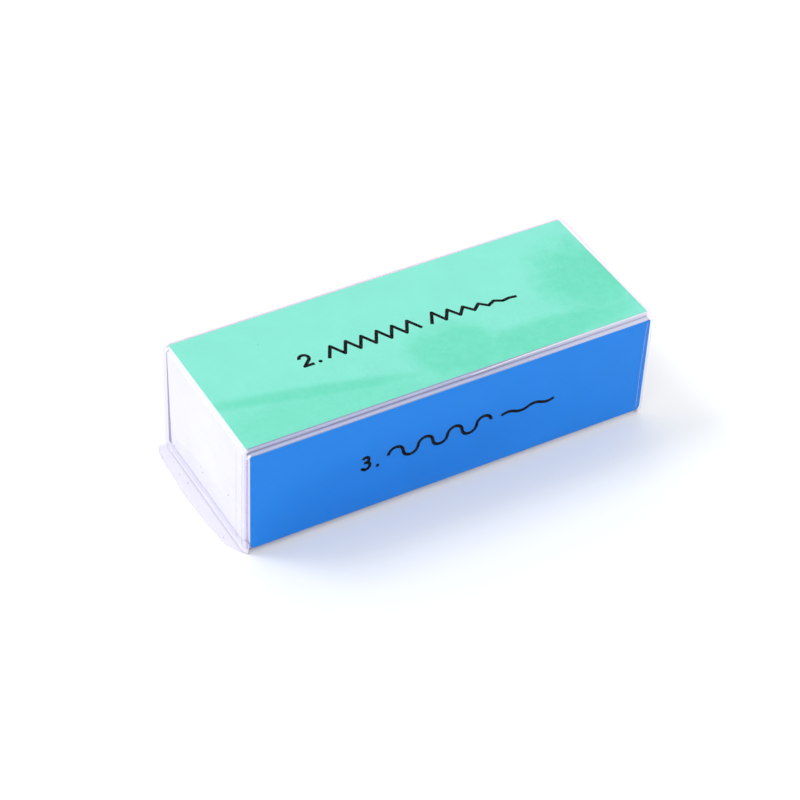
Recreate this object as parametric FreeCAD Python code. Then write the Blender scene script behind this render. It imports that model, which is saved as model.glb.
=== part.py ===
import FreeCAD, Part
import math
import os

# A four-sided nail buffer block in its clear shrink wrap, in millimetres.
# +X runs along the block, -Y is the front side (step 3), +Z is up (step 2 on top).
# The origin is the middle of the wrap's underside, where the block stands.

# Driving dimensions
SHEET_LENGTH = 95.0
CORE_WIDTH = 35.6
CORE_HEIGHT = 25.4
CORE_PROUD = 0.5            # how far the foam core stands out past the sheets at each end
CORE_ADHESIVE = 0.10
CUSHION = 0.95
SHEET_ADHESIVE = 0.06
SHEET = 0.22
INK = 0.02
FILM = 0.06
WIDE_PAD_CORNER = 0.3       # rounding of the die-cut corners, top and bottom
NARROW_PAD_CORNER = 0.9     # the same, front and back
FILE_PAD_SLIDE = -0.45      # how far along the block the back pad was stuck on off centre
SMOOTH_PAD_SLIDE = 0.3      # the same for the front pad
SHINE_PAD_SLIDE = -0.4      # the same for the bottom pad

# Printed marks
STROKE = 0.76
CAP_HEIGHT = 4.1
DOT_RADIUS = 0.42
DOT_FROM_DIGIT = 4.1        # from the digit's left edge to the dot's middle
WIDE_PRINT_RISE = 0.7       # the print's middle on the wide sides, above the sheet's middle

# Welded edges of the wrap
SEAL_THICKNESS = 2 * FILM
END_BEVEL = 0.04            # length over which the wrap draws in around an end
CREASE_GAP = 0.3            # clear room between the wrap's end and a fin folded up against it
END_FIN_REACH = 2.9
END_FIN_FRONT = 1.0         # distance of the fin's front end from the wrap's front
END_FIN_BACK = 0.4
END_FIN_SWEEP = 4.5         # length over which the fin's front end curves in
END_FIN_HEIGHT = 0.25       # middle of an end fin above the surface
BACK_SEAL_REACH = 1.4
BACK_SEAL_HEIGHT = 0.5      # middle of the back seal above the surface

# Worked out from the driving dimensions
PAD = CORE_ADHESIVE + CUSHION + SHEET_ADHESIVE + SHEET
HALF_LENGTH = SHEET_LENGTH / 2
CORE_LENGTH = SHEET_LENGTH + 2 * CORE_PROUD
CORE_BOTTOM = FILM + INK + PAD
CORE_MIDDLE = CORE_BOTTOM + CORE_HEIGHT / 2
HALF_WIDTH = CORE_WIDTH / 2 + PAD + INK
HALF_HEIGHT = CORE_HEIGHT / 2 + PAD + INK

X_AXIS = FreeCAD.Vector(1, 0, 0)
MIDDLE = FreeCAD.Vector(0, 0, CORE_MIDDLE)


def export(name, shape):
    shape.exportStep("parts/" + name + ".step")


def plate(length, width, bottom, thickness, radius):
    """A flat layer with rounded corners, centred on the local Z axis."""
    corner = FreeCAD.Vector(-length / 2, -width / 2, bottom)
    block = Part.makeBox(length, width, thickness, corner)
    upright = [edge for edge in block.Edges if abs(edge.tangentAt(edge.FirstParameter).z) > 0.99]
    return block.makeFillet(radius, upright)


def turned_to_side(shape, angle, reach, slide):
    """Moves a layer from the local frame, where Z = 0 is the core's face, to its side of the core."""
    placed = shape.copy()
    placed.translate(FreeCAD.Vector(slide, 0, reach + CORE_MIDDLE))
    placed.rotate(MIDDLE, X_AXIS, angle)
    return placed


# Ink strokes: plane figures in the local frame, which become thin solids

def line_stroke(start, end):
    """A straight stroke with square ends."""
    along = FreeCAD.Vector(end[0] - start[0], end[1] - start[1], 0)
    aside = FreeCAD.Vector(-along.y, along.x, 0).normalize() * (STROKE / 2)
    first = FreeCAD.Vector(start[0], start[1], 0)
    last = FreeCAD.Vector(end[0], end[1], 0)
    outline = [first - aside, last - aside, last + aside, first + aside, first - aside]
    return Part.Face(Part.makePolygon(outline))


def dot(centre, radius):
    ring = Part.Circle(FreeCAD.Vector(centre[0], centre[1], 0), FreeCAD.Vector(0, 0, 1), radius)
    return Part.Face(Part.Wire(ring.toShape()))


def arc_stroke(centre, radius, start_degrees, end_degrees):
    """A stroke along an arc, counter-clockwise from start to end."""
    start, end = math.radians(start_degrees), math.radians(end_degrees)
    middle = FreeCAD.Vector(centre[0], centre[1], 0)
    up = FreeCAD.Vector(0, 0, 1)
    outer = Part.ArcOfCircle(Part.Circle(middle, up, radius + STROKE / 2), start, end).toShape()
    inner = Part.ArcOfCircle(Part.Circle(middle, up, radius - STROKE / 2), start, end).toShape()
    ends = [Part.makeLine(outer.valueAt(outer.FirstParameter), inner.valueAt(inner.FirstParameter)),
            Part.makeLine(outer.valueAt(outer.LastParameter), inner.valueAt(inner.LastParameter))]
    return Part.Face(Part.Wire(Part.__sortEdges__([outer, inner] + ends)))


def bent_stroke(points):
    """Straight strokes through the points, with round joints."""
    pieces = [line_stroke(a, b) for a, b in zip(points, points[1:])]
    return pieces + [dot(point, STROKE / 2) for point in points[1:-1]]


def ink_solids(figures):
    """One thin solid for each separate figure, whose strokes are joined first."""
    solids = []
    for strokes in figures:
        flat = strokes[0]
        if len(strokes) > 1:
            flat = flat.fuse(strokes[1:]).removeSplitter()
        for face in flat.Faces:
            solids.append(face.extrude(FreeCAD.Vector(0, 0, INK)))
    return solids


def digit_one(left, low):
    right = left + 1.2
    top = low + CAP_HEIGHT
    flag = bent_stroke([(left, top - 1.0), (right, top - STROKE / 2)])
    return flag + [line_stroke((right, low), (right, top))]


def digit_two(left, low):
    radius = 1.05
    centre = (left + STROKE / 2 + radius, low + CAP_HEIGHT - STROKE / 2 - radius)
    turn = math.radians(-38)
    shoulder = (centre[0] + radius * math.cos(turn), centre[1] + radius * math.sin(turn))
    foot = (left + STROKE / 2 + 0.1, low + STROKE / 2)
    leg = bent_stroke([shoulder, foot, (left + 2.7, low + STROKE / 2)])
    return [arc_stroke(centre, radius, -38, 175)] + leg + [dot(shoulder, STROKE / 2)]


def digit_three(left, low):
    large = 0.96
    small = (CAP_HEIGHT - STROKE) / 2 - large
    middle = left + STROKE / 2 + large
    waist = low + STROKE / 2 + 2 * large
    tongue = line_stroke((middle - 0.4, waist), (middle, waist))
    return [arc_stroke((middle, waist + small), small, -90, 160),
            arc_stroke((middle, waist - large), large, -165, 90), tongue]


def digit_four(left, low):
    stem = left + 2.0
    bar = low + 1.15
    top = low + CAP_HEIGHT
    slope = bent_stroke([(left + 2.75, bar), (left + 0.3, bar), (stem, top - STROKE / 2)])
    return slope + [line_stroke((stem, low), (stem, top))]


def hatch(left, right, low, count):
    """Slanted lines side by side: the coarse side that files."""
    step = (right - left - CAP_HEIGHT / 2) / (count - 1)
    feet = [left + step * i for i in range(count)]
    return [[line_stroke((x, low), (x + CAP_HEIGHT / 2, low + CAP_HEIGHT))] for x in feet]


def ridges(left, right, low, last_height, peaks):
    """A zigzag of ridges, as they stand on a nail, from the full height down to the last one's."""
    step = (right - left) / (2 * peaks)
    foot = low + STROKE / 2
    points = []
    for i in range(2 * peaks + 1):
        height = CAP_HEIGHT + (last_height - CAP_HEIGHT) * max(0, i - 1) / (2 * peaks - 2)
        crest = low + height - STROKE / 2
        points.append((left + step * i, crest if i % 2 else foot))
    return [bent_stroke(points)]


def ripples(left, right, low, height, count):
    """A wave of arcs, one up and one down in turn; low arcs make a flatter wave."""
    chord = (right - left) / count
    rise = (height - STROKE) / 2
    radius = (chord * chord / 4 + rise * rise) / (2 * rise)
    half_angle = math.degrees(math.asin(min(1.0, chord / 2 / radius)))
    middle = low + CAP_HEIGHT / 2
    strokes = []
    for i in range(count):
        side = -1 if i % 2 else 1
        centre = (left + chord * (i + 0.5), middle + side * (rise - radius))
        crown = 90 * side
        strokes.append(arc_stroke(centre, radius, crown - half_angle, crown + half_angle))
    joints = [dot((left + chord * i, middle), STROKE / 2) for i in range(1, count)]
    return [strokes + joints]


def stars(left, right, low, count):
    """Four-pointed stars: the side that shines."""
    step = (right - left) / count
    reach = CAP_HEIGHT / 2
    waist = 0.2 * reach
    quarter = [(0.8 * reach, 0), (waist, waist), (0, reach), (-waist, waist)]
    outline = quarter + [(-x, -y) for x, y in quarter]
    figures = []
    for i in range(count):
        middle = FreeCAD.Vector(left + step * (i + 0.5), low + reach, 0)
        points = [middle + FreeCAD.Vector(x, y, 0) for x, y in outline]
        figures.append([Part.Face(Part.makePolygon(points + points[:1]))])
    return figures


def step_mark(digit, digit_left, first_group, second_group, low):
    """A step's number, its dot and two groups of symbols, as thin ink solids in the local frame."""
    full_stop = dot((digit_left + DOT_FROM_DIGIT, low + DOT_RADIUS), DOT_RADIUS)
    return Part.makeCompound(ink_solids([digit(digit_left, low), [full_stop]] + first_group + second_group))


def from_end(distance):
    """A place along the block, measured from the sheets' left end."""
    return distance - HALF_LENGTH


# The wrap

def wrap_outline(x, half_width, half_height, flat_width, flat_height):
    """Eight corners around the block at x, on flats joined by slanted bridges over the notches."""
    corners = [(half_width, flat_height), (flat_width, half_height)]
    corners += [(-y, z) for y, z in reversed(corners)]
    corners += [(-y, -z) for y, z in corners]
    return [FreeCAD.Vector(x, y, z + CORE_MIDDLE) for y, z in corners]


def solid_through(outlines):
    """A closed solid with flat faces through outlines that have as many corners each."""
    faces = []
    for near, far in zip(outlines, outlines[1:]):
        for i in range(len(near)):
            j = (i + 1) % len(near)
            faces.append(Part.Face(Part.makePolygon([near[i], near[j], far[j], far[i], near[i]])))
    for outline in (outlines[0], outlines[-1]):
        faces.append(Part.Face(Part.makePolygon(outline + outline[:1])))
    solid = Part.Solid(Part.Shell(faces))
    if solid.Volume < 0:
        solid.reverse()
    return solid


def wrap_body(grow):
    """The space inside the wrap, grown outwards: a prism over the sheets, drawn in over the core's ends."""
    bevel = grow * math.tan(math.radians(22.5))
    core_room = 0.2
    full = (HALF_WIDTH + grow, HALF_HEIGHT + grow, CORE_WIDTH / 2 + bevel, CORE_HEIGHT / 2 + bevel)
    drawn_in = (CORE_WIDTH / 2 + core_room + grow, CORE_HEIGHT / 2 + core_room + grow,
                CORE_WIDTH / 2 + core_room / 2 + bevel, CORE_HEIGHT / 2 + core_room / 2 + bevel)
    tip = CORE_LENGTH / 2 + INK + grow
    shoulder = tip - END_BEVEL
    return solid_through([wrap_outline(-tip, *drawn_in), wrap_outline(-shoulder, *full),
                          wrap_outline(shoulder, *full), wrap_outline(tip, *drawn_in)])


def end_fin(side):
    """The welded edge beyond the wrap's end, lying flat: swept in at the front, cut off at the back."""
    crease = CORE_LENGTH / 2 + INK + FILM + CREASE_GAP
    front = -HALF_WIDTH + END_FIN_FRONT
    back = HALF_WIDTH - END_FIN_BACK
    level = END_FIN_HEIGHT - SEAL_THICKNESS / 2
    cut_off = 1.0

    def at(out, y):
        return FreeCAD.Vector(side * (crease + out), y, level)

    swept = Part.Arc(at(0, front), at(0.72 * END_FIN_REACH, front + 0.3 * END_FIN_SWEEP),
                     at(END_FIN_REACH, front + END_FIN_SWEEP)).toShape()
    rest = Part.makePolygon([at(END_FIN_REACH, front + END_FIN_SWEEP), at(END_FIN_REACH, back - cut_off),
                             at(END_FIN_REACH - cut_off, back), at(0, back), at(0, front)])
    outline = Part.Wire(Part.__sortEdges__([swept] + rest.Edges))
    return Part.Face(outline).extrude(FreeCAD.Vector(0, 0, SEAL_THICKNESS))


def back_seal(wrap_outside):
    """The long weld along the wrap's lower back edge."""
    length = 2 * (HALF_LENGTH - 1)
    corner = FreeCAD.Vector(-length / 2, CORE_WIDTH / 2, BACK_SEAL_HEIGHT - SEAL_THICKNESS / 2)
    strip = Part.makeBox(length, PAD / 2 + BACK_SEAL_REACH, SEAL_THICKNESS, corner)
    return strip.cut(wrap_outside)


# Where the print stands along the block: the digit's left edge and the two groups of symbols
WIDE_LOW = WIDE_PRINT_RISE - CAP_HEIGHT / 2
WIDE_DIGIT = from_end(21.5)
WIDE_FIRST = (from_end(27.7), from_end(49.6), WIDE_LOW)
WIDE_SECOND = (from_end(52.0), from_end(72.7), WIDE_LOW)
NARROW_LOW = -CAP_HEIGHT / 2
NARROW_DIGIT = from_end(25.3)
NARROW_FIRST = (from_end(31.9), from_end(56.5), NARROW_LOW)
NARROW_SECOND = (from_end(59.0), from_end(72.0), NARROW_LOW)
MARKS = {
    "file": step_mark(digit_one, NARROW_DIGIT, hatch(*NARROW_FIRST, 9),
                      hatch(*NARROW_SECOND, 5), NARROW_LOW),
    "ridge": step_mark(digit_two, WIDE_DIGIT, ridges(*WIDE_FIRST, CAP_HEIGHT, 6),
                       ridges(*WIDE_SECOND, 1.0, 6), WIDE_LOW),
    "smooth": step_mark(digit_three, NARROW_DIGIT, ripples(*NARROW_FIRST, CAP_HEIGHT, 7),
                        ripples(*NARROW_SECOND, 1.6, 4), NARROW_LOW),
    "shine": step_mark(digit_four, WIDE_DIGIT, stars(*WIDE_FIRST, 5), stars(*WIDE_SECOND, 5), WIDE_LOW),
}
# Each side's angle about X from the top, its pad's width, corners and slide, and the core's half size there
SIDES = {
    "ridge": (0, CORE_WIDTH, WIDE_PAD_CORNER, 0, CORE_HEIGHT / 2),
    "smooth": (90, CORE_HEIGHT, NARROW_PAD_CORNER, SMOOTH_PAD_SLIDE, CORE_WIDTH / 2),
    "shine": (180, CORE_WIDTH, WIDE_PAD_CORNER, SHINE_PAD_SLIDE, CORE_HEIGHT / 2),
    "file": (270, CORE_HEIGHT, NARROW_PAD_CORNER, FILE_PAD_SLIDE, CORE_WIDTH / 2),
}
LAYERS = [("core_adhesive", CORE_ADHESIVE), ("cushion", CUSHION),
          ("sheet_adhesive", SHEET_ADHESIVE), ("sheet", SHEET)]

os.makedirs("parts", exist_ok=True)

core_corner = FreeCAD.Vector(-CORE_LENGTH / 2, -CORE_WIDTH / 2, CORE_BOTTOM)
export("foam_core", Part.makeBox(CORE_LENGTH, CORE_WIDTH, CORE_HEIGHT, core_corner))

for side, (angle, width, corner, slide, reach) in SIDES.items():
    bottom = 0
    for layer, thickness in LAYERS:
        shape = plate(SHEET_LENGTH, width, bottom, thickness, corner)
        export(side + "_" + layer, turned_to_side(shape, angle, reach, slide))
        bottom += thickness
    export(side + "_step_mark", turned_to_side(MARKS[side], angle, reach + PAD, 0))

wrap_outside = wrap_body(FILM)
export("film_wrap", wrap_outside.cut(wrap_body(0)))
export("back_edge_seal", back_seal(wrap_outside))
export("left_end_fin", end_fin(-1))
export("right_end_fin", end_fin(1))
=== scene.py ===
import math

import bmesh
import bpy
import numpy as np
from mathutils import Matrix, Vector, noise


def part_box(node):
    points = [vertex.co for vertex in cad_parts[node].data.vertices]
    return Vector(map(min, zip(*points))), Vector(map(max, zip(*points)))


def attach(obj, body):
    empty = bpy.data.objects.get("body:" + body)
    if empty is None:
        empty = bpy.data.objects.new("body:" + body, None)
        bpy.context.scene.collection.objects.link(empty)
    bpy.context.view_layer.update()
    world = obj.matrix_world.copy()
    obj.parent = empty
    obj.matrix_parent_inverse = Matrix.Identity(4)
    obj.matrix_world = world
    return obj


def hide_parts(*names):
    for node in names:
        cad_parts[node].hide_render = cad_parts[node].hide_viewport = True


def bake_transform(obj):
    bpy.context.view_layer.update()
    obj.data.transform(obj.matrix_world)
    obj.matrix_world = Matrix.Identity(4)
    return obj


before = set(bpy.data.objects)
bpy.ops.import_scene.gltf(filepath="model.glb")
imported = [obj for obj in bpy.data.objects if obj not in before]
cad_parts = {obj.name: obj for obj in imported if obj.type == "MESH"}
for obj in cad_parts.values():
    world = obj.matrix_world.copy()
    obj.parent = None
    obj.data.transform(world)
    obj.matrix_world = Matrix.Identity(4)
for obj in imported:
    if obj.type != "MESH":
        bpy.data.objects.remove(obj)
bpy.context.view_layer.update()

# A four-sided nail buffer block, shrink wrapped. Lengths are in metres, and MM is one millimetre.
MM = 0.001
core_low, core_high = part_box("foam_core")
wrap_low, wrap_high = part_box("film_wrap")
MIDDLE_HEIGHT = (core_low.z + core_high.z) / 2
CORE_HALF_LENGTH = core_high.x
CORE_HALF_WIDTH = core_high.y
CORE_HALF_HEIGHT = (core_high.z - core_low.z) / 2
WRAP_HALF_WIDTH = wrap_high.y
WRAP_HALF_HEIGHT = (wrap_high.z - wrap_low.z) / 2
SHEET_HALF_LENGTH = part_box("ridge_sheet")[1].x

# How far the drum-tight wrap presses the pads' edges down into their cushions, and over what width
END_PRESS = {"ridge": 0.10 * MM, "smooth": 0.30 * MM, "shine": 0.10 * MM, "file": 0.20 * MM}
END_PRESS_WIDTH = 1.5 * MM
SIDE_PRESS = 0.06 * MM
SIDE_PRESS_WIDTH = 0.9 * MM

# A face of the block: the turn about X that brings it on top, and its die-cut corners' radius
SIDES = {
    "ridge": (0, 0.3 * MM),
    "smooth": (90, 0.9 * MM),
    "shine": (180, 0.3 * MM),
    "file": (270, 0.9 * MM),
}


def add_object(name, data):
    """A new object in the scene, at the origin."""
    added = bpy.data.objects.new(name, data)
    bpy.context.scene.collection.objects.link(added)
    return added


# Camera, at the height and turn from which the block shows its left end, front and top

def place_camera():
    distance = 0.525
    turn, height, roll = math.radians(31.31), math.radians(41.45), math.radians(2.909)
    target = Vector((-5.0, -5.2, 14.1)) * MM
    level = math.cos(height)
    forward = Vector((math.sin(turn) * level, math.cos(turn) * level, -math.sin(height)))
    level_right = forward.cross(Vector((0, 0, 1))).normalized()
    right = Matrix.Rotation(-roll, 3, forward) @ level_right
    up = right.cross(forward)
    camera = add_object("camera", bpy.data.cameras.new("camera"))
    turned = Matrix((right, up, -forward)).transposed().to_4x4()
    camera.matrix_world = Matrix.Translation(target - forward * distance) @ turned
    camera.data.lens = 112.37
    camera.data.sensor_width = 36
    camera.data.clip_start = 0.01
    bpy.context.scene.camera = camera


# Materials

def linear(hex_colour):
    """An sRGB hex colour as linear red, green, blue and alpha."""
    channels = [int(hex_colour[i:i + 2], 16) / 255 for i in (1, 3, 5)]
    return [c / 12.92 if c <= 0.04045 else ((c + 0.055) / 1.055) ** 2.4 for c in channels] + [1.0]


def add_node(tree, kind, settings=(), values=(), links=()):
    """Adds a node: its own settings, its sockets' values, and the outputs that feed its sockets."""
    added = tree.nodes.new(kind)
    for name, value in dict(settings).items():
        setattr(added, name, value)
    for socket, value in dict(values).items():
        added.inputs[socket].default_value = value
    for socket, output in dict(links).items():
        tree.links.new(output, added.inputs[socket])
    return added


def new_material(name):
    """An empty material, its node tree, and the object's own coordinates in that tree."""
    material = bpy.data.materials.new(name)
    material.use_nodes = True
    tree = material.node_tree
    tree.nodes.clear()
    place = add_node(tree, "ShaderNodeTexCoord").outputs["Object"]
    return material, tree, place


def finish_material(tree, shader):
    add_node(tree, "ShaderNodeOutputMaterial", links={"Surface": shader})


def finish_solid(tree, colour, relief, bumps, shine, inverted=False):
    """Ends a solid material, with its colour, its relief, the size of its bumps and its shine."""
    bump = add_node(tree, "ShaderNodeBump", {"invert": inverted}, bumps, {"Height": relief})
    shader = add_node(tree, "ShaderNodeBsdfPrincipled", {}, shine,
                      {"Base Color": colour, "Normal": bump.outputs["Normal"]})
    finish_material(tree, shader.outputs["BSDF"])


def two_tones(tree, factor, low_place, low_colour, high_place, high_colour):
    """A ramp between two colours, over the part of the factor's range that counts."""
    ramp = add_node(tree, "ShaderNodeValToRGB", links={"Fac": factor})
    low, high = ramp.color_ramp.elements
    low.position, low.color = low_place, linear(low_colour)
    high.position, high.color = high_place, linear(high_colour)
    return ramp.outputs["Color"]


# Mask for the painted shade in the notches between the pads
def in_notch(tree, place, depth):
    """1 in the notches where two pads meet along the block's long edges, and 0 elsewhere.

    The painted shade there stops short of the end faces, and thins out towards the right end."""
    soft_edge = 0.12 * MM
    shade_stops = (47.0 * MM, 47.5 * MM)
    fade_length, right_share = 45.0 * MM, 0.45
    spot = add_node(tree, "ShaderNodeSeparateXYZ", links={"Vector": place})
    shares = []
    for axis, middle, half in (("Y", 0.0, CORE_HALF_WIDTH), ("Z", MIDDLE_HEIGHT, CORE_HALF_HEIGHT)):
        centred = add_node(tree, "ShaderNodeMath", {"operation": "SUBTRACT"}, {1: middle},
                           {0: spot.outputs[axis]})
        away = add_node(tree, "ShaderNodeMath", {"operation": "ABSOLUTE"}, {},
                        {0: centred.outputs["Value"]})
        shares.append(add_node(tree, "ShaderNodeMapRange", {"interpolation_type": "SMOOTHSTEP"},
                               {"From Min": half - depth - soft_edge,
                                "From Max": half - depth + soft_edge},
                               {"Value": away.outputs["Value"]}))
    along = add_node(tree, "ShaderNodeMath", {"operation": "ABSOLUTE"}, {}, {0: spot.outputs["X"]})
    for value, start, end, last in ((along.outputs["Value"], *shade_stops, 0.0),
                                    (spot.outputs["X"], 0.0, fade_length, right_share)):
        shares.append(add_node(tree, "ShaderNodeMapRange", {},
                               {"From Min": start, "From Max": end, "To Min": 1.0, "To Max": last},
                               {"Value": value}))
    share = shares[0].outputs["Result"]
    for other in shares[1:]:
        share = add_node(tree, "ShaderNodeMath", {"operation": "MULTIPLY"}, {},
                         {0: share, 1: other.outputs["Result"]}).outputs["Value"]
    return share


def toned(tree, base, share, tone):
    """The base colour, going over to a tone by that share."""
    return add_node(tree, "ShaderNodeMix", {"data_type": "RGBA"}, {"B": linear(tone)},
                    {"Factor": share, "A": base}).outputs["Result"]


def back_pad_shade_line(tree, place):
    """1 on the rim of the left end face beside the back pad, in a line that widens downwards: where
    a painted shade line goes.
    """
    width_below, width_above, depth = 1.5 * MM, 0.45 * MM, 0.3 * MM
    spot = add_node(tree, "ShaderNodeSeparateXYZ", links={"Vector": place})
    inner = add_node(tree, "ShaderNodeMapRange", {},
                     {"From Min": core_low.z, "From Max": core_high.z,
                      "To Min": CORE_HALF_WIDTH - width_below,
                      "To Max": CORE_HALF_WIDTH - width_above},
                     {"Value": spot.outputs["Z"]})
    past = add_node(tree, "ShaderNodeMath", {"operation": "GREATER_THAN"}, {},
                    {0: spot.outputs["Y"], 1: inner.outputs["Result"]})
    at_end = add_node(tree, "ShaderNodeMath", {"operation": "LESS_THAN"},
                      {1: -CORE_HALF_LENGTH + depth}, {0: spot.outputs["X"]})
    line = add_node(tree, "ShaderNodeMath", {"operation": "MULTIPLY"}, {},
                    {0: past.outputs["Value"], 1: at_end.outputs["Value"]})
    return line.outputs["Value"]


def eva_foam():
    """EVA foam sawn to length: a matt, faintly lavender white with closed cells cut open."""
    material, tree, place = new_material("eva_foam")
    # Real cells are 0.1 to 0.2 mm; they are drawn 0.35 mm wide so that they show
    cells = add_node(tree, "ShaderNodeTexVoronoi", {"feature": "DISTANCE_TO_EDGE"},
                     {"Scale": 1 / (0.35 * MM)}, {"Vector": place})
    cloud = add_node(tree, "ShaderNodeTexNoise", {}, {"Scale": 1 / (9 * MM), "Detail": 3.0},
                     {"Vector": place})
    # The cell walls catch a little more light than the hollows between them
    walls = two_tones(tree, cells.outputs["Distance"], 0.02, "#FCFBFF", 0.30, "#F7F6FC")
    patches = two_tones(tree, cloud.outputs["Fac"], 0.35, "#FAF9FD", 0.65, "#FFFFFF")
    colour = add_node(tree, "ShaderNodeMix", {"data_type": "RGBA", "blend_type": "MULTIPLY"},
                      {"Factor": 1.0}, {"A": walls, "B": patches}).outputs["Result"]
    # Painted shade: the foam is darkened in the notches along its long edges, and in a line behind
    # the back pad's end
    colour = toned(tree, colour, in_notch(tree, place, 0.75 * MM), "#8B86A8")
    colour = toned(tree, colour, back_pad_shade_line(tree, place), "#948DB8")
    finish_solid(tree, colour, cells.outputs["Distance"], {"Strength": 0.35, "Distance": 0.05 * MM},
                 {"Roughness": 0.85, "IOR": 1.48}, inverted=True)
    return material


def cushion_foam():
    """Cross-linked polyethylene foam tape: a clean, finer-celled white with a soft die-cut edge."""
    material, tree, place = new_material("polyethylene_foam_tape")
    cells = add_node(tree, "ShaderNodeTexVoronoi", {"feature": "SMOOTH_F1"},
                     {"Scale": 1 / (0.25 * MM)}, {"Vector": place})
    colour = two_tones(tree, cells.outputs["Distance"], 0.1, "#FFFFFF", 0.7, "#F4F4FA")
    # Painted shade: the long die-cut edges are darkened lavender grey in the notches
    colour = toned(tree, colour, in_notch(tree, place, 0.2 * MM), "#C6CBE3")
    finish_solid(tree, colour, cells.outputs["Distance"], {"Strength": 0.3, "Distance": 0.04 * MM},
                 {"Roughness": 0.75, "IOR": 1.5})
    return material


def backing_paper():
    """The white latex paper that carries the grit, seen only where the sheets are cut."""
    material, tree, place = new_material("latex_backing_paper")
    fibres = add_node(tree, "ShaderNodeTexNoise", {}, {"Scale": 1 / (0.4 * MM), "Detail": 3.0},
                      {"Vector": place})
    colour = two_tones(tree, fibres.outputs["Fac"], 0.35, "#EFEDF6", 0.65, "#F8F6FC")
    # Painted shade: darker in the notches between the pads
    colour = toned(tree, colour, in_notch(tree, place, 1.2 * MM), "#9CA4BC")
    shader = add_node(tree, "ShaderNodeBsdfPrincipled", {}, {"Roughness": 0.8, "IOR": 1.5},
                      {"Base Color": colour})
    finish_material(tree, shader.outputs["BSDF"])
    return material


def acrylic_adhesive():
    """Acrylic transfer adhesive: a thin greyish line between the layers, with a soft gloss."""
    material, tree, place = new_material("acrylic_adhesive")
    drift = add_node(tree, "ShaderNodeTexNoise", {}, {"Scale": 1 / (3 * MM), "Detail": 2.0},
                     {"Vector": place})
    colour = two_tones(tree, drift.outputs["Fac"], 0.3, "#DDE0EA", 0.7, "#ECEEF5")
    # Painted shade: darker in the notches between the pads
    colour = toned(tree, colour, in_notch(tree, place, 0.2 * MM), "#A8A8C2")
    finish_solid(tree, colour, drift.outputs["Fac"], {"Strength": 0.15, "Distance": 0.02 * MM},
                 {"Roughness": 0.35, "IOR": 1.47})
    return material


def deep_tone_patch(tree, flat, wobble, patch):
    """1 in a patch that keeps a sheet's deep tone, free of the painted reflection: a turned ellipse
    whose edge the wobble makes ragged.
    """
    x, across, half_length, half_width, turn, ragged, softness, strength = patch
    shift = add_node(tree, "ShaderNodeVectorMath", {"operation": "SCALE"}, {"Scale": ragged * MM},
                     {0: wobble})
    moved = add_node(tree, "ShaderNodeVectorMath", {"operation": "ADD"}, {},
                     {0: flat, 1: shift.outputs["Vector"]})
    inside = add_node(tree, "ShaderNodeMapping", {"vector_type": "TEXTURE"},
                      {"Location": (x * MM, across * MM, 0), "Rotation": (0, 0, math.radians(turn)),
                       "Scale": (half_length * MM, half_width * MM, 1)},
                      {"Vector": moved.outputs["Vector"]})
    reach = add_node(tree, "ShaderNodeVectorMath", {"operation": "LENGTH"}, {},
                     {0: inside.outputs["Vector"]})
    return add_node(tree, "ShaderNodeMapRange", {"interpolation_type": "SMOOTHSTEP"},
                    {"From Min": 1 + softness, "From Max": 1 - softness,
                     "To Min": 0.0, "To Max": strength},
                    {"Value": reach.outputs["Value"]}).outputs["Result"]


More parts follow.
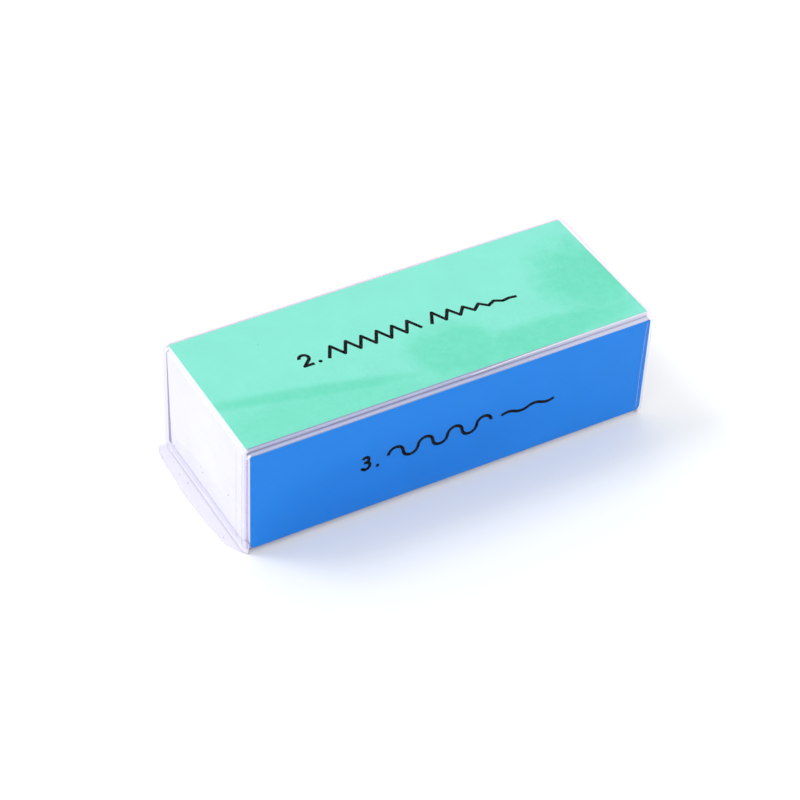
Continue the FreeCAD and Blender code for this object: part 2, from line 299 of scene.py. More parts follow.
def coated_abrasive(name, deep, reflection_tone, grain, roughness, across, patches):
    """Resin-bonded mineral grit on a paper backing: an even, matt colour broken by fine grain.

    In patches the colour is the deep tone; elsewhere it is lighter, a painted reflection of the
    bright surroundings in the wrap."""
    material, tree, place = new_material(name)
    # Grit of 20 to 100 micrometres is too fine to show, so the grain is drawn a few times coarser
    grit = add_node(tree, "ShaderNodeTexVoronoi", {}, {"Scale": 1 / grain}, {"Vector": place})
    coat = add_node(tree, "ShaderNodeTexNoise", {},
                    {"Scale": 1 / (6 * MM), "Detail": 4.0, "Roughness": 0.6}, {"Vector": place})
    blend = add_node(tree, "ShaderNodeMix", {"data_type": "FLOAT"}, {"Factor": 0.5},
                     {"A": grit.outputs["Color"], "B": coat.outputs["Fac"]})
    # The resin coat is thicker in places, and single grains stand a shade lighter or darker
    grains = two_tones(tree, blend.outputs["Result"], 0.15, "#F1F1F1", 0.75, "#FFFFFF")

    spot = add_node(tree, "ShaderNodeSeparateXYZ", links={"Vector": place})
    centred = add_node(tree, "ShaderNodeMath", {"operation": "SUBTRACT"},
                       {1: MIDDLE_HEIGHT if across == "Z" else 0.0}, {0: spot.outputs[across]})
    flat = add_node(tree, "ShaderNodeCombineXYZ", {}, {},
                    {"X": spot.outputs["X"], "Y": centred.outputs["Value"]})
    clouds = add_node(tree, "ShaderNodeTexNoise", {},
                      {"Scale": 1 / (7 * MM), "Detail": 6.0, "Roughness": 0.62}, {"Vector": place})
    wobble = add_node(tree, "ShaderNodeVectorMath", {"operation": "SUBTRACT"}, {1: (0.5, 0.5, 0.5)},
                      {0: clouds.outputs["Color"]})
    shares = [deep_tone_patch(tree, flat.outputs["Vector"], wobble.outputs["Vector"], patch)
              for patch in patches]
    deep_share = shares[0]
    for share in shares[1:]:
        deep_share = add_node(tree, "ShaderNodeMath", {"operation": "MAXIMUM"}, {},
                         {0: deep_share, 1: share}).outputs["Value"]
    # Painted reflection in specks all over: a noise lightens even the deep patches a little
    speck_noise = add_node(tree, "ShaderNodeTexNoise", {},
                   {"Scale": 1 / (2.2 * MM), "Detail": 5.0, "Roughness": 0.75}, {"Vector": place})
    reflection_specks = add_node(tree, "ShaderNodeMapRange", {},
                       {"From Min": 0.35, "From Max": 0.6, "To Min": 0.7, "To Max": 1.0},
                       {"Value": speck_noise.outputs["Fac"]})
    deep_share = add_node(tree, "ShaderNodeMath", {"operation": "MULTIPLY"}, {},
                     {0: deep_share, 1: reflection_specks.outputs["Result"]}).outputs["Value"]
    # Painted reflection: outside the deep patches the lighter reflection tone is painted in
    tone = add_node(tree, "ShaderNodeMix", {"data_type": "RGBA"},
                    {"A": linear(reflection_tone), "B": linear(deep)}, {"Factor": deep_share}).outputs["Result"]
    colour = add_node(tree, "ShaderNodeMix", {"data_type": "RGBA", "blend_type": "MULTIPLY"},
                      {"Factor": 1.0}, {"A": tone, "B": grains}).outputs["Result"]
    finish_solid(tree, colour, grit.outputs["Distance"], {"Strength": 0.25, "Distance": 0.03 * MM},
                 {"Roughness": roughness, "IOR": 1.5, "Specular IOR Level": 0.12})
    return material


def printing_ink():
    """Screen-printed blue-black ink: almost black, thinner in spots where grit shows through."""
    material, tree, place = new_material("screen_printed_ink")
    starved = add_node(tree, "ShaderNodeTexNoise", {}, {"Scale": 1 / (0.35 * MM), "Detail": 3.0},
                       {"Vector": place})
    colour = two_tones(tree, starved.outputs["Fac"], 0.45, "#010106", 0.80, "#02040E")
    finish_solid(tree, colour, starved.outputs["Fac"], {"Strength": 0.2, "Distance": 0.01 * MM},
                 {"Roughness": 0.5, "IOR": 1.5, "Specular IOR Level": 0.03})
    return material


def clear_film(name, tint, index, roughness, ripple, ripple_height, milk):
    """Clear film: light passes straight through, and what isn't let through is mirrored.

    Only the outer face mirrors, since the two faces of film this thin act as one. Milk is the share
    of the light that whitened film scatters."""
    material, tree, place = new_material(name)
    ripples = add_node(tree, "ShaderNodeTexNoise", {}, {"Scale": 1 / ripple, "Detail": 2.0},
                       {"Vector": place})
    bump = add_node(tree, "ShaderNodeBump", {}, {"Strength": 1.0, "Distance": ripple_height},
                    {"Height": ripples.outputs["Fac"]})
    mirrored = add_node(tree, "ShaderNodeFresnel", {}, {"IOR": index},
                        {"Normal": bump.outputs["Normal"]})
    inside = add_node(tree, "ShaderNodeNewGeometry").outputs["Backfacing"]
    outside = add_node(tree, "ShaderNodeMath", {"operation": "SUBTRACT"}, {0: 1.0}, {1: inside})
    share = add_node(tree, "ShaderNodeMath", {"operation": "MULTIPLY"}, {},
                     {0: mirrored.outputs["Fac"], 1: outside.outputs["Value"]})
    through = add_node(tree, "ShaderNodeBsdfTransparent", {}, {"Color": linear(tint)})
    gloss = add_node(tree, "ShaderNodeBsdfGlossy", {}, {"Roughness": roughness},
                     {"Normal": bump.outputs["Normal"]})
    shader = add_node(tree, "ShaderNodeMixShader", {}, {},
                      {"Fac": share.outputs["Value"],
                       1: through.outputs["BSDF"], 2: gloss.outputs["BSDF"]})
    if milk:
        scattered = add_node(tree, "ShaderNodeBsdfDiffuse", {}, {"Color": linear("#F5F3FB")})
        shader = add_node(tree, "ShaderNodeMixShader", {}, {"Fac": milk},
                          {1: shader.outputs["Shader"], 2: scattered.outputs["BSDF"]})
    finish_material(tree, shader.outputs["Shader"])
    return material


def plain_paint(name, colour, roughness):
    """One even colour all over."""
    material, tree, _ = new_material(name)
    shader = add_node(tree, "ShaderNodeBsdfPrincipled", {},
                      {"Base Color": linear(colour), "Roughness": roughness})
    finish_material(tree, shader.outputs["BSDF"])
    return material


EVA_FOAM = eva_foam()
CUSHION_FOAM = cushion_foam()
ADHESIVE = acrylic_adhesive()
INK = printing_ink()
SHEET_BACKING = backing_paper()
# Patches that keep a sheet's deep tone, free of the painted reflection. In millimetres from the
# sheet's middle: along, across, half length and half width; then the turn in degrees, the raggedness
# in millimetres, the softness and strength
DEEP_TONE_PATCHES = {
    "ridge": [(-28.0, -8.6, 24.0, 1.9, -13.3, 1.2, 0.5, 1.0),
              (4.5, -10.2, 9.5, 8.0, -8, 8.0, 0.35, 1.0),
              (22.0, -14.7, 25.0, 4.5, 3, 8.0, 0.4, 1.0),
              (41.5, -1.5, 10.0, 11.0, -10, 13.0, 0.4, 1.0),
              (-26.0, -17.0, 29.0, 8.0, -8, 2.0, 0.4, 0.65)],
    "smooth": [(-14.0, -6.0, 33.0, 9.0, 5, 5.0, 0.4, 0.8)],
    "shine": [(12.0, 3.0, 26.0, 9.0, 4, 6.0, 0.4, 0.8),
              (-30.0, -8.0, 12.0, 5.0, -10, 5.0, 0.4, 0.6)],
    "file": [(-12.0, 2.0, 24.0, 7.0, -4, 6.0, 0.4, 0.8), (30.0, -4.0, 12.0, 6.0, 8, 5.0, 0.4, 0.7)],
}
# Each sheet's material, its deep tone and its lighter tone of painted reflection, grain, roughness,
# and the axis that runs across it
COATS = {
    "ridge": ("aluminium_oxide_mint", "#6FDEBB", "#87E8CE", 0.22 * MM, 0.65, "Y"),
    "smooth": ("aluminium_oxide_blue", "#1780E2", "#1E89EA", 0.16 * MM, 0.6, "Z"),
    "shine": ("silicon_carbide_pale_grey", "#DCDEE4", "#E8EAEE", 0.14 * MM, 0.5, "Y"),
    "file": ("aluminium_oxide_pink", "#F474A2", "#FA92B8", 0.30 * MM, 0.7, "Z"),
}
ABRASIVES = {side: coated_abrasive(*coat, DEEP_TONE_PATCHES[side]) for side, coat in COATS.items()}
# Each film's tint, index, roughness, ripple length and height, and milk
SHRINK_FILM = clear_film("polyolefin_shrink_film", "#FCFBFE", 1.17, 0.05, 3 * MM, 0.004 * MM, 0)
GATHERED_FILM = clear_film("gathered_polyolefin", "#F8F8FD", 1.35, 0.08, 1.2 * MM, 0.010 * MM, 0)
# Also used as a painted highlight, in the front right crease
CREASED_FILM = clear_film("stress_whitened_polyolefin_and_painted_highlight", "#FAF3FD", 1.5, 0.15, 0.6 * MM, 0.02 * MM,
                          0.22)
WELDED_FILM = clear_film("welded_polyolefin", "#FDFCFE", 1.4, 0.12, 0.8 * MM, 0.02 * MM, 0.3)
BLUSHED_FILM = clear_film("pad_tinted_polyolefin", "#FDEEF7", 1.3, 0.15, 0.8 * MM, 0.02 * MM, 0.35)
# A fin is two plies of film, so it dims the surface below it more
TWO_PLY_FILM = clear_film("two_ply_polyolefin", "#FAF9FD", 1.17, 0.05, 3 * MM, 0.004 * MM, 0)
FOLDED_FILM = clear_film("folded_polyolefin", "#EEE5F8", 1.15, 0.1, 0.8 * MM, 0.01 * MM, 0.2)
# Near-white film for painted light: a painted highlight along the front notch, and painted light
# over the shade at the ends' feet
MILKY_FILM_PAINTED_LIGHT = clear_film("milky_polyolefin_painted_light", "#FAF8FE", 1.15, 0.2, 0.8 * MM, 0.01 * MM, 0.86)
TRAPPED_DUST = plain_paint("trapped_dust", "#4A4652", 0.8)

for side in SIDES:
    for layer, material in (("core_adhesive", ADHESIVE), ("step_mark", INK)):
        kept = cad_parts[side + "_" + layer]
        kept.data.materials.clear()
        kept.data.materials.append(material)


# Mesh helpers

def eased(value):
    """0 to 1 with no kink at either end."""
    value = min(1.0, max(0.0, value))
    return value * value * (3 - 2 * value)


def stations(half, pitch):
    """Places from -half to half: close together at both ends, and an even pitch between."""
    fine = [0, 0.08, 0.2, 0.36, 0.56, 0.8, 1.1, 1.5, 2.0]
    inner = half - fine[-1] * MM
    count = max(1, round(2 * inner / pitch))
    even = [-inner + 2 * inner * i / count for i in range(1, count)]
    near_end = [half - step * MM for step in fine]
    return [-place for place in near_end] + even + near_end[::-1]


def make_piece(name, points, faces, material, body, smooth_angle=40):
    """A closed mesh as a finished piece that rides on a body; the faces are turned outwards."""
    mesh = bpy.data.meshes.new(name)
    mesh.from_pydata([tuple(p) for p in points], [], faces)
    shape = bmesh.new()
    shape.from_mesh(mesh)
    bmesh.ops.recalc_face_normals(shape, faces=shape.faces)
    for face in shape.faces:
        face.smooth = True
    for edge in shape.edges:
        edge.smooth = edge.calc_face_angle(0) < math.radians(smooth_angle)
    shape.to_mesh(mesh)
    shape.free()
    mesh.materials.append(material)
    piece = add_object(name, mesh)
    if body:
        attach(piece, body)
    return piece


def skin(rings):
    """Points and faces of a tube through rings of equal counts, closed by a fan at both ends."""
    around = len(rings[0])
    points = [p for ring in rings for p in ring]
    faces = []
    for r in range(len(rings) - 1):
        for i in range(around):
            j = (i + 1) % around
            faces.append((r * around + i, r * around + j, (r + 1) * around + j,
                          (r + 1) * around + i))
    for ring, first in ((rings[0], 0), (rings[-1], (len(rings) - 1) * around)):
        centre = sum((Vector(p) for p in ring), Vector()) / around
        points.append(centre)
        faces += [(first + i, first + (i + 1) % around, len(points) - 1) for i in range(around)]
    return points, faces


def edge_press(side, u, v, half_u, half_v):
    """How far a pad is pressed down at (u, v) on its face."""
    at_end = 1 - eased((half_u - abs(u)) / END_PRESS_WIDTH)
    at_side = 1 - eased((half_v - abs(v)) / SIDE_PRESS_WIDTH)
    return END_PRESS[side] * at_end + SIDE_PRESS * at_side * (1 - at_end)


def rounded_corner(u, v, half_u, half_v, radius):
    """Draws the corners of a rectangular grid in to arcs."""
    p = max(0.0, (abs(u) - half_u) / radius + 1)
    q = max(0.0, (abs(v) - half_v) / radius + 1)
    if p == 0 or q == 0:
        return u, v
    round_u = half_u - radius + radius * p * math.sqrt(1 - q * q / 2)
    round_v = half_v - radius + radius * q * math.sqrt(1 - p * p / 2)
    return math.copysign(round_u, u), math.copysign(round_v, v)


def on_side(side, u, v, height):
    """A point on a side of the block: along it, across it, and its height from the middle."""
    turn = math.radians(SIDES[side][0])
    return Vector((u, v * math.cos(turn) - height * math.sin(turn),
                   v * math.sin(turn) + height * math.cos(turn) + MIDDLE_HEIGHT))


def room_of(side, layer):
    """A CAD layer's middle, half length, half width, and its faces' heights above the middle."""
    low, high = (corner - Vector((0, 0, MIDDLE_HEIGHT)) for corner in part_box(side + "_" + layer))
    middle, half_length = (low.x + high.x) / 2, (high.x - low.x) / 2
    if side in ("ridge", "shine"):
        return (middle, half_length, high.y, *sorted((abs(low.z), abs(high.z))))
    return (middle, half_length, (high.z - low.z) / 2, *sorted((abs(low.y), abs(high.y))))


def pad_layer(side, layer, material, wall, pressed, cut_edge=None):
    """One layer of a pad. Its wall goes up as (distance out, share of the thickness); pressed is the
    share of the wrap's press that each face takes, lower first."""
    slide, half_u, half_v, near, far = room_of(side, layer)
    radius = SIDES[side][1]
    pitch = 2.2 * MM
    us, vs = stations(half_u, pitch), stations(half_v, pitch)
    rows, columns = len(us), len(vs)
    grid = [rounded_corner(u, v, half_u, half_v, radius) for u in us for v in vs]

    rim = [i * columns for i in range(rows)]
    rim += [(rows - 1) * columns + j for j in range(1, columns)]
    rim += [i * columns + columns - 1 for i in range(rows - 2, -1, -1)]
    rim += [j for j in range(columns - 2, 0, -1)]
    outward = []
    for k in range(len(rim)):
        before, after = grid[rim[k - 1]], grid[rim[(k + 1) % len(rim)]]
        away = Vector((-(after[1] - before[1]), after[0] - before[0])).normalized()
        if away.dot(Vector(grid[rim[k]])) < 0:
            away = -away
        outward.append(away)

    def placed(u, v, share):
        pressed_here = pressed[0] + (pressed[1] - pressed[0]) * share
        press = edge_press(side, u, v, half_u, half_v) * pressed_here
        return on_side(side, u + slide, v, near + (far - near) * share - press)

    def moved_rim(out):
        return [(grid[rim[k]][0] + outward[k].x * out, grid[rim[k]][1] + outward[k].y * out)
                for k in range(len(rim))]

    points, faces = [], []
    rings = []
    for level in (0, len(wall) - 1):
        out, share = wall[level]
        flat = list(grid)
        for k, spot in zip(rim, moved_rim(out)):
            flat[k] = spot
        first = len(points)
        points += [placed(u, v, share) for u, v in flat]
        rings.append([first + k for k in rim])
        faces += [(first + i * columns + j, first + (i + 1) * columns + j,
                   first + (i + 1) * columns + j + 1, first + i * columns + j + 1)
                  for i in range(rows - 1) for j in range(columns - 1)]
    between = []
    for out, share in wall[1:-1]:
        between.append(list(range(len(points), len(points) + len(rim))))
        points += [placed(u, v, share) for u, v in moved_rim(out)]
    ladder = [rings[0]] + between + [rings[1]]
    for lower, upper in zip(ladder, ladder[1:]):
        for k in range(len(rim)):
            n = (k + 1) % len(rim)
            faces.append((lower[k], lower[n], upper[n], upper[k]))
    piece = make_piece("die_cut_" + side + "_" + layer, points, faces, material, "block")
    if cut_edge:
        piece.data.materials.append(cut_edge)
        for face in list(piece.data.polygons)[-(len(ladder) - 1) * len(rim):]:
            face.material_index = 1
    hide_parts(side + "_" + layer)
    return piece


# The block's own layers

def box_section(half_width, half_height, radius, pitch):
    """Points round a rectangle with rounded corners, as (y, height from the middle)."""
    arc = [math.radians(a) for a in range(0, 91, 15)]
    section = []
    for quarter in range(4):
        turn = quarter * math.pi / 2
        sign_y = 1 if quarter in (0, 3) else -1
        sign_z = 1 if quarter in (0, 1) else -1
        centre = (sign_y * (half_width - radius), sign_z * (half_height - radius))
        section += [(centre[0] + radius * math.cos(turn + a),
                     centre[1] + radius * math.sin(turn + a)) for a in arc]
        straight = half_width - radius if quarter in (0, 2) else half_height - radius
        steps = round(2 * straight / pitch)
        last = section[-1]
        heading = (-sign_y, 0) if quarter in (0, 2) else (0, -sign_z)
        section += [(last[0] + heading[0] * 2 * straight * i / steps,
                     last[1] + heading[1] * 2 * straight * i / steps) for i in range(1, steps)]
    return section


def foam_core():
    """The sawn block of foam: its long edges are rounded, so a groove shows between the pads."""
    edge_round, end_round, pitch = 0.8 * MM, 0.18 * MM, 2.0 * MM
    section = box_section(CORE_HALF_WIDTH, CORE_HALF_HEIGHT, edge_round, pitch)
    shrink_y, shrink_z = 1 / CORE_HALF_WIDTH, 1 / CORE_HALF_HEIGHT

    def ring(x, inset, share):
        return [Vector((x, y * (1 - inset * shrink_y) * share,
                        z * (1 - inset * shrink_z) * share + MIDDLE_HEIGHT)) for y, z in section]

    ends = [(CORE_HALF_LENGTH, end_round, share) for share in (0.04, 0.2, 0.4, 0.6, 0.8, 0.95)]
    for turn in (math.radians(angle) for angle in (0, 30, 60, 90)):
        ends.append((CORE_HALF_LENGTH - end_round * (1 - math.cos(turn)),
                     end_round * (1 - math.sin(turn)), 1))
    inner = CORE_HALF_LENGTH - end_round
    count = 24
    rings = [ring(-x, inset, share) for x, inset, share in ends]
    rings += [ring(-inner + 2 * inner * i / count, 0, 1) for i in range(1, count)]
    rings += [ring(x, inset, share) for x, inset, share in reversed(ends)]
    points, faces = skin(rings)
    core = make_piece("sawn_foam_core", points, faces, EVA_FOAM, "block")
    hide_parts("foam_core")


foam_core()
# The die pulls a cushion's wall in at its faces, and leaves it bulging between them
CUSHION_WALL = [(-0.04 * MM, 0), (0.0, 0.12), (0.03 * MM, 0.35), (0.04 * MM, 0.5),
                (0.03 * MM, 0.65), (0.0, 0.88), (-0.04 * MM, 1)]
SHEET_WALL = [(-0.02 * MM, 0), (0.0, 0.2), (0.0, 0.7), (-0.05 * MM, 1)]
GLUE_WALL = [(-0.01 * MM, 0), (-0.01 * MM, 1)]
for side in SIDES:
    cushion = pad_layer(side, "cushion", CUSHION_FOAM, CUSHION_WALL, (0, 1))
    pad_layer(side, "sheet_adhesive", ADHESIVE, GLUE_WALL, (1, 1))
    pad_layer(side, "sheet", ABRASIVES[side], SHEET_WALL, (1, 1),
              SHEET_BACKING)


# The shrink wrap

def wander(seed, x, y, z, length):
    """A smooth, fixed wandering between 0 and 1 over about that length."""
    place = Vector((x / length + seed * 17.3, y / length - seed * 5.1, z / length + seed))
    return 0.5 + 0.5 * noise.noise(place)


def wrap_section():
    """Points round the tight wrap, as (y, height from the middle, share of a wrinkle's lift)."""
    clearance, pitch, wrinkle_start = 0.02 * MM, 0.8 * MM, 4 * MM
    # Half the flat's width, and how far it lies from the middle: the top and bottom, then the sides
    wide = (CORE_HALF_WIDTH + clearance, WRAP_HALF_HEIGHT)
    narrow = (CORE_HALF_HEIGHT + clearance, WRAP_HALF_WIDTH)
    section = []
    for quarter in range(4):
        this, following = (wide, narrow) if quarter % 2 == 0 else (narrow, wide)
        (across, reach), (next_across, next_reach) = this, following
        turn = quarter * math.pi / 2
        flat = [(-place, reach, eased((across - abs(place)) / wrinkle_start))
                for place in stations(across, pitch)]
        # Over a notch the film runs straight from one pad's edge to the next
        bridge = [(-across + (across - next_reach) * s, reach + (next_across - reach) * s,
                   0.6 * math.sin(math.pi * s)) for s in (0.06, 0.2, 0.4, 0.6, 0.8, 0.94)]
        for a, b, free in flat + bridge:
            section.append((a * math.cos(turn) - b * math.sin(turn),
                            a * math.sin(turn) + b * math.cos(turn), free))
    return section


def end_bulge(side, y, z):
    """How far the wrap stands off the core's end: it sags at the weld, and is loose in places."""
    sag, sag_height = 0.22 * MM, 4 * MM
    pleat_depth, pleat_width, pleat_foot = 0.14 * MM, 0.35 * MM, 3 * MM
    looseness, loose_height, loose_from, loose_over = 1.25 * MM, 11 * MM, -17 * MM, 33 * MM
    above = z - wrap_low.z
    towards_weld = sag * eased(1 - above / sag_height)
    if side < 0:
        pleat_middle = -12.6 * MM + 0.03 * (z - MIDDLE_HEIGHT)
        pleat = pleat_depth * math.exp(-((y - pleat_middle) / pleat_width) ** 2)
        pleat *= eased(above / pleat_foot)
        return towards_weld + pleat + 0.06 * MM * wander(3, 0, y, z, 6 * MM)
    loose_corner = looseness * eased((z - MIDDLE_HEIGHT) / loose_height)
    loose_corner *= 0.15 + 0.85 * eased((y - loose_from) / loose_over)
    return towards_weld + loose_corner + 0.10 * MM * wander(4, 0, y, z, 3 * MM)


def wrap_ring(x, section, draw_in=0.0, share=1.0, side=1):
    """One ring of the wrap. Draw_in goes from 0 on the sheets to 1 at the rim of the core's end."""
    end_slack, touching, floor_gap = 0.26 * MM, 0.01 * MM, 0.02 * MM
    width_change = (CORE_HALF_WIDTH + end_slack) / WRAP_HALF_WIDTH - 1
    height_change = (CORE_HALF_HEIGHT + end_slack) / WRAP_HALF_HEIGHT - 1
    press = 0.0
    if share == 1:
        near_end = 1 - eased((SHEET_HALF_LENGTH - abs(x)) / END_PRESS_WIDTH)
        press = END_PRESS["ridge"] * near_end * (1 - draw_in)
    ring = []
    for y, z, free in section:
        # The bottom sheet of film runs on level to the weld; the other three sides are drawn in
        lowness = eased((-z / WRAP_HALF_HEIGHT - 0.75) / 0.25)
        slid_out = side * y < -CORE_HALF_WIDTH
        drawn = draw_in * draw_in * 0.15 if slid_out else draw_in
        at_y = y * (1 + width_change * drawn) * share
        at_z = z * (1 + height_change * draw_in * (1 - lowness)) * share
        on_flat_y = abs(abs(y) - WRAP_HALF_WIDTH) < touching
        on_flat_z = abs(abs(z) - WRAP_HALF_HEIGHT) < touching
        if on_flat_y or on_flat_z:
            lift = 0.13 * MM * free * wander(1, x * 0.55, y, z, 14 * MM)
        else:
            lift = 0.10 * MM * free * wander(2, x, y, z, 4 * MM)
        # The film stands off by the difference between its wrinkles' lift and the pads' press
        stand_off = abs(lift - press)
        share_y, share_z = (0, 1) if on_flat_z else (1, 0) if on_flat_y else (0.7, 0.7)
        at_y += math.copysign(stand_off, y) * share_y
        at_z = max(at_z + math.copysign(stand_off, z) * share_z + MIDDLE_HEIGHT, floor_gap)
        ring.append(Vector((x + side * end_bulge(side, at_y, at_z) * draw_in, at_y, at_z)))
    return ring


# Above this height the wrap's loose right end is stress-whitened
LOOSE_RIM = core_high.z - 0.7 * MM


def film_wrap():
    """The clear bag: a tight tube that crosses the notches on the slant, closed over both ends."""
    section = wrap_section()
    shoulder, tip, pitch = SHEET_HALF_LENGTH + 0.35 * MM, wrap_high.x, 0.9 * MM

    def closed_end(side):
        shares = (0.03, 0.1, 0.2, 0.3, 0.4, 0.5, 0.58, 0.66, 0.73, 0.8, 0.86, 0.91, 0.95, 0.975,
                  0.99)
        end = [wrap_ring(side * tip, section, 1.0, share, side) for share in shares]
        for step in (1.0, 0.92, 0.75, 0.5, 0.25):
            turn = step * math.pi / 2
            out = shoulder + (tip - shoulder) * math.sin(turn)
            end.append(wrap_ring(side * out, section, 1 - math.cos(turn), 1.0, side))
        return end

    tube = [wrap_ring(x, section) for x in stations(shoulder, pitch)]
    points, faces = skin(closed_end(-1) + tube + closed_end(1)[::-1])
    wrap = make_piece("shrink_wrap_bag", points, faces, SHRINK_FILM, "block",
                      smooth_angle=75)
    wrap.data.materials.append(GATHERED_FILM)
    wrap.data.materials.append(CREASED_FILM)
    for face in wrap.data.polygons:
        x, _, z = face.center
        if abs(x) > shoulder:
            face.material_index = 2 if x > 0 and z > LOOSE_RIM else 1
    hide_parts("film_wrap")


film_wrap()


# Welded edges of the wrap

def strip(across, depth):
    """Points and faces of a thin closed strip: rows of outer points, and inner ones a depth in."""
    rows, columns = len(across), len(across[0])
    top = [p for row in across for p in row]
    bottom = [p - depth for p in top]
    count = len(top)
    points = top + bottom
    faces = []
    for i in range(rows - 1):
        for j in range(columns - 1):
            a, b = i * columns + j, (i + 1) * columns + j
            faces.append((a, b, b + 1, a + 1))
            faces.append((count + a, count + a + 1, count + b + 1, count + b))
    rim = [(i * columns, (i + 1) * columns) for i in range(rows - 1)]
    rim += [((i + 1) * columns + columns - 1, i * columns + columns - 1) for i in range(rows - 1)]
    rim += [(j + 1, j) for j in range(columns - 1)]
    rim += [((rows - 1) * columns + j, (rows - 1) * columns + j + 1) for j in range(columns - 1)]
    faces += [(a, count + a, count + b, b) for a, b in rim]
    return points, faces


def new_tree(name, inputs):
    """An empty geometry-nodes tree, and its inputs: the given sizes, then the finish."""
    tree = bpy.data.node_groups.new(name, "GeometryNodeTree")
    for size, kind in inputs + [("Finish", "Material")]:
        tree.interface.new_socket(size, in_out="INPUT", socket_type="NodeSocket" + kind)
    tree.interface.new_socket("Shape", in_out="OUTPUT", socket_type="NodeSocketGeometry")
    return tree, add_node(tree, "NodeGroupInput").outputs


def finish_tree(tree, given, shape):
    """Ends a tree: its instances are realized and given their finish."""
    whole = add_node(tree, "GeometryNodeRealizeInstances", links={"Geometry": shape})
    painted = add_node(tree, "GeometryNodeSetMaterial", {}, {},
                       {"Geometry": whole.outputs["Geometry"], "Material": given["Finish"]})
    add_node(tree, "NodeGroupOutput", links={"Shape": painted.outputs["Geometry"]})
    return tree


def weld_bead_tree():
    """Geometry nodes: a round bead of melted film along an edge."""
    tree, given = new_tree("weld_bead", [("Edge", "Geometry"), ("Bead radius", "Float"),
                                         ("Spacing", "Float")])
    path = add_node(tree, "GeometryNodeMeshToCurve", links={"Mesh": given["Edge"]})
    even = add_node(tree, "GeometryNodeResampleCurve", {"mode": "LENGTH"}, {},
                    {"Curve": path.outputs["Curve"], "Length": given["Spacing"]})
    ring = add_node(tree, "GeometryNodeCurvePrimitiveCircle", {}, {"Resolution": 8},
                    {"Radius": given["Bead radius"]})
    tube = add_node(tree, "GeometryNodeCurveToMesh", {}, {"Fill Caps": True},
                    {"Curve": even.outputs["Curve"], "Profile Curve": ring.outputs["Curve"]})
    return finish_tree(tree, given, tube.outputs["Mesh"])


def specks_tree():
    """Geometry nodes: a flat speck of dust at each point, with a random turn and size."""
    tree, given = new_tree("specks", [("Places", "Geometry"), ("Speck size", "Float"),
                                      ("Seed", "Int")])
    speck = add_node(tree, "GeometryNodeMeshIcoSphere", {}, {"Subdivisions": 1},
                     {"Radius": given["Speck size"]})
    flat = add_node(tree, "GeometryNodeTransform", {}, {"Scale": (1.0, 0.6, 0.12)},
                    {"Geometry": speck.outputs["Mesh"]})
    turn = add_node(tree, "FunctionNodeRandomValue", {"data_type": "FLOAT_VECTOR"},
                    {0: (0.0, 0.0, 0.0), 1: (0.0, 0.0, 6.28)}, {"Seed": given["Seed"]})
    size = add_node(tree, "FunctionNodeRandomValue", {"data_type": "FLOAT"}, {2: 0.35, 3: 1.0},
                    {"Seed": given["Seed"]})
    spread = add_node(tree, "GeometryNodeInstanceOnPoints", {}, {},
                      {"Points": given["Places"], "Instance": flat.outputs["Geometry"],
                       "Rotation": turn.outputs[0], "Scale": size.outputs[1]})
    return finish_tree(tree, given, spread.outputs["Instances"])


def grown(name, tree, points, edges, sizes):
    """A plain mesh of film, grown by a geometry-nodes tree on points and edges."""
    seed_mesh = bpy.data.meshes.new(name + "_seed")
    seed_mesh.from_pydata([tuple(p) for p in points], edges, [])
    grower = add_object(name + "_seed", seed_mesh)
    modifier = grower.modifiers.new("grow", "NODES")
    modifier.node_group = tree
    for item in tree.interface.items_tree:
        if item.in_out == "INPUT" and item.name in sizes:
            modifier[item.identifier] = sizes[item.name]
    bpy.context.view_layer.update()
    evaluated = grower.evaluated_get(bpy.context.evaluated_depsgraph_get())
    mesh = bpy.data.meshes.new_from_object(evaluated)
    bpy.data.objects.remove(grower)
    mesh.name = name
    for polygon in mesh.polygons:
        polygon.use_smooth = True
    piece = add_object(name, mesh)
    return piece


WELD_BEAD = weld_bead_tree()
SPECKS = specks_tree()


def bead_along(name, path, radius, spacing, finish):
    """A bead of film along a path of points."""
    return grown(name, WELD_BEAD, path, [(i, i + 1) for i in range(len(path) - 1)],
                 {"Bead radius": radius, "Spacing": spacing, "Finish": finish})


def specks_at(name, places, seed):
    """Specks of dust at those places."""
    return grown(name, SPECKS, places, [],
                 {"Speck size": 0.16 * MM, "Seed": seed, "Finish": TRAPPED_DUST})


def rim_of(rows):
    """The points along the middle of a strip's outer edge."""
    return [row[-1] - Vector((0, 0, FIN_THICKNESS / 2)) for row in rows]


# The end fins' outlines in millimetres: (place from front to back, distance out from the crease)
LEFT_REACH = [(-18.3, 0.1), (-17.5, 0.7), (-16.0, 1.6), (-14.0, 2.4), (-7.0, 2.9), (-1.5, 3.2),
              (3.2, 3.4), (9.7, 3.0), (13.4, 2.85), (16.8, 2.4), (18.0, 2.0), (18.8, 1.5)]
RIGHT_REACH = [(-16.8, 0.1), (-16.2, 0.8), (-15.0, 1.9), (-12.0, 2.5), (-4.0, 2.9), (3.0, 2.7),
               (9.0, 3.0), (14.0, 2.8), (17.0, 2.3), (18.4, 1.6)]
CREASE = 48.38 * MM
FIN_ROOT = 48.12 * MM
FIN_THICKNESS = 0.10 * MM


def fin_height(side, share, y):
    """The height of the fin's top: it leaves the bag, settles, and curls at its edge."""
    settled = 0.14 * MM
    root = 0.34 * MM * (1 - eased(share / 0.25))
    curl = 0.42 * MM * wander(5 + side, y, 0, 0, 7 * MM) * share * share
    crinkle = 0.05 * MM * wander(8 + side, y, share * 2 * MM, 0, 1.6 * MM)
    return settled + root + curl + crinkle


